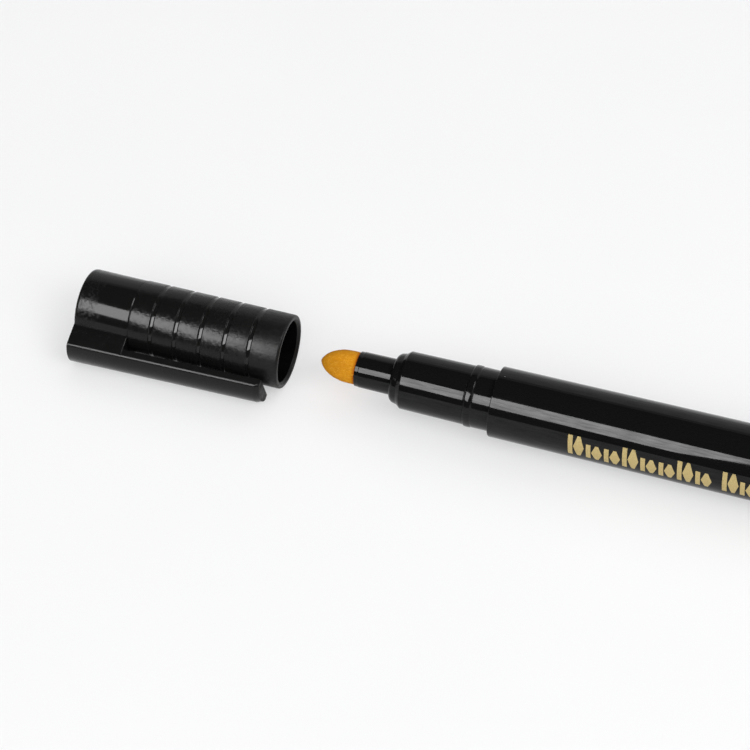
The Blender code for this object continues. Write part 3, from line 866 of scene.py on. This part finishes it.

# %% [markdown]
# After spinning, the faces in a groove take the polished finish, those of the closed end their own, and those
# of the bore the deep black that paints the shade inside the cap.

# %% Spin the cap
cap = spin_outline(
    "cap_tube", MOUTH, eased(cap_outline), False, satin_black, ring_black, head_black, bore_black
)
for face in cap.data.polygons:
    along = (face.center.x - MOUTH) / MM
    out = (face.center - Vector((face.center.x, AXIS.y, AXIS.z))).length / MM
    if CAP_FLOOR - 0.01 < along < -0.45 and out < CAP_BORE_R + 0.02:
        face.material_index = 3
    elif along < HEAD_FRONT - 0.04:
        face.material_index = 2
    elif CAP_BORE_R + 0.5 < out < CAP_R_MM - 0.03 and along < -1:
        face.material_index = 1
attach(cap, "cap")
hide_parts("cap_shell")
print("cap faces", len(cap.data.polygons))

# %% [markdown]
# ### Ribs in the mouth
#
# Eight low ribs inside the cap grip the neck, so that the fit is snug without needing an exact bore. One
# rib is a small bar whose inner face is ramped at both ends and softened along its edges, and Geometry
# Nodes set it round the axis at equal turns.

# %% Rib recipe
RAMP_BEYOND, RAMP_DROP = 5 * MM, 0.18 * MM
EDGE_BEYOND, EDGE_DROP = 0.1 * MM, 0.08 * MM
RIBS_MIDDLE = MOUTH - 11.5 * MM
recipe, given = start_recipe(
    "mouth_ribs", Ribs=8, Width=0.0005, Length=0.012, Inner_radius=0.0047, Height=0.0005, Plastic=bore_black
)
size = add(recipe, "ShaderNodeCombineXYZ", {"X": given["Length"], "Y": given["Width"], "Z": given["Height"]})
bar = add(recipe, "GeometryNodeMeshCube", {"Size": size.outputs[0], "Vertices X": 4, "Vertices Y": 3})
place = add(recipe, "GeometryNodeInputPosition").outputs[0]
parts = add(recipe, "ShaderNodeSeparateXYZ", {"Vector": place})
is_end = maths(recipe, "GREATER_THAN", maths(recipe, "ABSOLUTE", parts.outputs["X"]), RAMP_BEYOND)
is_face = maths(recipe, "LESS_THAN", parts.outputs["Z"], 0.0)
is_side = maths(recipe, "GREATER_THAN", maths(recipe, "ABSOLUTE", parts.outputs["Y"]), EDGE_BEYOND)
ramp = maths(recipe, "MULTIPLY", maths(recipe, "MULTIPLY", is_end, is_face), RAMP_DROP)
rounding = maths(recipe, "MULTIPLY", maths(recipe, "MULTIPLY", is_side, is_face), EDGE_DROP)
lift = add(recipe, "ShaderNodeCombineXYZ", {"Z": maths(recipe, "ADD", ramp, rounding)})
rib = add(recipe, "GeometryNodeSetPosition", {"Geometry": bar.outputs[0], "Offset": lift.outputs[0]})
out = maths(recipe, "ADD", given["Inner radius"], maths(recipe, "MULTIPLY", given["Height"], 0.5))
raised = add(recipe, "ShaderNodeCombineXYZ", {"Z": out})
rib = add(recipe, "GeometryNodeTransform", {"Geometry": rib.outputs[0], "Translation": raised.outputs[0]})
places = add(recipe, "GeometryNodePoints", {"Count": given["Ribs"]})
index = add(recipe, "GeometryNodeInputIndex").outputs[0]
rib_angle = maths(recipe, "DIVIDE", maths(recipe, "MULTIPLY", index, 2 * math.pi), given["Ribs"])
turned = add(recipe, "ShaderNodeCombineXYZ", {"X": rib_angle})
ribs = add(
    recipe,
    "GeometryNodeInstanceOnPoints",
    {"Points": places.outputs[0], "Instance": rib.outputs[0], "Rotation": turned.outputs[0]},
)
home = add(
    recipe,
    "GeometryNodeTransform",
    {"Geometry": ribs.outputs[0], "Translation": (RIBS_MIDDLE, AXIS.y, AXIS.z)},
)
end_recipe(recipe, home.outputs[0], given["Plastic"])
# The ribs inside the mouth take the same painted-shade black as the bore.
ribs = follow_recipe("mouth_ribs", recipe, Plastic=bore_black)
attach(ribs, "cap")

# %% [markdown]
# ### Clip
#
# On the real pen the clip is one moulding with the cap: a solid block at the closed end that runs on as a
# springy arm. Every cross section has the same crowned face with eased edges, because the bright hairline
# along the upper edge is what the eye finds first. Behind that face the block sinks into the cap, and the
# arm has a flat back.

# %% Cross sections of the clip
CLIP_HALF = 3.05
CLIP_CROWN, CLIP_THICK, CLIP_DROP = 1.10, 1.2, 0.60
CLIP_EDGE_R = CAP_R_MM + 2.56
CLIP_TIP = (arm_high.x - MOUTH) / MM - 0.7
ACROSS_STEPS, BACK_LEAVES_OUT = 20, 7
CROWN_R = (CLIP_HALF**2 + CLIP_CROWN**2) / (2 * CLIP_CROWN)
ROOT_R = 5.1
OUTER_EASE, INNER_EASE = 0.38, 0.12


def clip_point(along, across, out):
    """A point of the clip in mm: along the cap, across the clip's face and out from the axis."""
    y = -out * math.cos(CLIP_TURN) - across * math.sin(CLIP_TURN)
    z = -out * math.sin(CLIP_TURN) + across * math.cos(CLIP_TURN)
    return Vector((MOUTH + along * MM, AXIS.y + y * MM, AXIS.z + z * MM))


def clip_edge(along):
    """How far the face's edge is from the axis: the clip leans in a little towards its tip."""
    return CLIP_EDGE_R - CLIP_DROP * (along - CAP_END) / (CLIP_TIP - CAP_END)


def clip_section(along, fall, pad, in_block, inset=0):
    """One cross section: its crowned face, let down by fall, and its root in the block or its flat back."""
    edge = clip_edge(along) - fall
    inner = CLIP_HALF - OUTER_EASE - 0.05
    face = [inner * (1 - 2 * i / ACROSS_STEPS) for i in range(ACROSS_STEPS + 1)]
    corners = [(CLIP_HALF, edge, OUTER_EASE)]
    corners += [(a, edge + math.sqrt(CROWN_R**2 - a**2) - (CROWN_R - CLIP_CROWN), 0) for a in face]
    corners += [(-CLIP_HALF, edge, OUTER_EASE)]
    if in_block:
        root_half = CLIP_HALF - inset
        root_face = [root_half] + [a * root_half / CLIP_HALF for a in face[1:-1]] + [-root_half]
        corners += [(-a, math.sqrt(ROOT_R**2 - a**2), 0) for a in root_face]
    else:
        back = edge + fall - CLIP_THICK - pad
        corners += [(-CLIP_HALF, back, INNER_EASE)]
        corners += [(-a, back, 0) for a in face[BACK_LEAVES_OUT:-BACK_LEAVES_OUT]]
        corners += [(CLIP_HALF, back, INNER_EASE)]
    return [clip_point(along, p.x, p.y) for p in eased(corners, closed=True, steps=6)]


def loft(name, sections, *materials):
    """Joins cross sections with equal counts of points, and closes both ends."""
    bm = bmesh.new()
    rings = [[bm.verts.new(point) for point in section] for section in sections]
    count = len(rings[0])
    for near, far in zip(rings, rings[1:]):
        for i in range(count):
            j = (i + 1) % count
            bm.faces.new((near[i], near[j], far[j], far[i]))
    bm.faces.new(rings[0])
    bm.faces.new(reversed(rings[-1]))
    bmesh.ops.remove_doubles(bm, verts=bm.verts, dist=1e-7)
    bmesh.ops.recalc_face_normals(bm, faces=bm.faces)
    return new_object(name, bm, *materials)


# %% [markdown]
# The sections run from the closed end to the tip. A few that grow narrower at the root round the block's
# front corners, the last ones swell the back into a low pad that grips the pocket, and the face falls away
# at the tip. A fine bevel softens what is still sharp, and the sheared end takes its dull finish.

# %% Loft the clip
TIP_BEVEL, TIP_FALL, PAD, PAD_LENGTH = 0.75, 0.30, 0.12, 2.2
TIP_ROUND, FALL_BEFORE = 0.35, 0.65
BLOCK_ROUND, BLOCK_STEPS, ARM_STEPS, PAD_STEPS = 0.30, 4, 36, 8
pad_start = CLIP_TIP - TIP_BEVEL - PAD_LENGTH
sections = [clip_section(CAP_END + 0.1, 0, 0, True), clip_section(HEAD_FRONT - BLOCK_ROUND, 0, 0, True)]
for step in range(1, BLOCK_STEPS + 1):
    quarter = step / BLOCK_STEPS * math.pi / 2
    inset = BLOCK_ROUND * (1 - math.cos(quarter))
    sections.append(clip_section(HEAD_FRONT - BLOCK_ROUND * (1 - math.sin(quarter)), 0, 0, True, inset))
for step in range(ARM_STEPS + 1):
    sections.append(clip_section(HEAD_FRONT + (pad_start - HEAD_FRONT) * step / ARM_STEPS, 0, 0, False))
for step in range(1, PAD_STEPS + 1):
    share = step / PAD_STEPS
    swell = PAD * (0.5 - 0.5 * math.cos(math.pi * share))
    sections.append(clip_section(pad_start + PAD_LENGTH * share, 0, swell, False))
sections.append(clip_section(CLIP_TIP - TIP_ROUND, TIP_FALL * FALL_BEFORE, PAD, False))
sections.append(clip_section(CLIP_TIP, TIP_FALL, PAD * 0.5, False))
clip = loft("pocket_clip", sections, clip_black, tip_black)

edge_round = {"width": 0.16 * MM, "segments": 3, "limit_method": "ANGLE", "angle_limit": math.radians(35)}
finished(clip, ("BEVEL", edge_round))
for face in clip.data.polygons:
    if face.normal.x > 0.6 and face.center.x > MOUTH + (CLIP_TIP - 0.5) * MM:
        face.material_index = 1
clip.data.shade_smooth()
clip.data.set_sharp_from_angle(angle=math.radians(50))
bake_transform(clip)
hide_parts("cap_clip")

# %% [markdown]
# ## The hidden pieces
#
# The rear plug closes the barrel. Its skirt just fits the tapered bore, and it is hollow in front, round a
# middle post, as moulded plugs are.

# %% Spin the plug
plug_r = CAP_R_MM - 0.25
PLUG_GAP = 0.1
widening = (plug_low.x - SHOULDER) / BARREL_LENGTH * (CAP_R_MM - BARREL_FRONT_R)
skirt_r = widening + BARREL_FRONT_R - BARREL_WALL - PLUG_GAP
plug_end = (plug_high.x - SHOULDER) / MM
plug_front = (plug_low.x - SHOULDER) / MM
head_front = plug_end - 2.0
plug_outline = [
    (plug_end, 0, 0),
    (plug_end, plug_r, 0.45),
    (head_front, plug_r, 0.08),
    (head_front, skirt_r, 0),
    (plug_front, skirt_r, 0.3),
    (plug_front, skirt_r - 1.0, 0.1),
    (length - 1.0, skirt_r - 1.0, 0.3),
    (length - 1.0, 2.4, 0.3),
    (plug_front, 2.4, 0.1),
    (plug_front, 0, 0),
]
plug = spin_outline("end_plug", SHOULDER, eased(plug_outline), False, gloss_black)
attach(plug, "pen")
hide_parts("rear_plug")

# %% [markdown]
# The seal in the cap keeps the nib from drying out. The inked fibre rod and its film are plain inside the
# barrel, so they keep their mechanical shapes and only take a finish.

# %% Spin the seal and finish the rod
SEAL_R, SEAL_FLANGE_R, SEAL_BORE_R = 3.73, 4.6, 2.98
seal_mouth = (seal_high.x - MOUTH) / MM
seal_back = (seal_low.x - MOUTH) / MM
seal_outline = [
    (seal_back + 3.6, 0, 0),
    (seal_back + 3.6, SEAL_BORE_R, 0.3),
    (seal_mouth - 0.25, SEAL_BORE_R, 0.1),
    (seal_mouth, SEAL_BORE_R + 0.25, 0.1),
    (seal_mouth, SEAL_R, 0.12),
    (seal_back + 1.2, SEAL_R, 0.1),
    (seal_back + 1.2, SEAL_FLANGE_R, 0.1),
    (seal_back, SEAL_FLANGE_R, 0.1),
    (seal_back, 0, 0),
]
seal = spin_outline("sealing_cup", MOUTH, eased(seal_outline), False, seal_white, steps=96)
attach(seal, "cap")
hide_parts("inner_cap")

for name, material in (("ink_reservoir", inked_fibre), ("reservoir_sleeve", clear_film)):
    print(name, "slots", len(frame["nodes"][name].material_slots))
    for slot in frame["nodes"][name].material_slots:
        slot.link = "OBJECT"
        slot.material = material
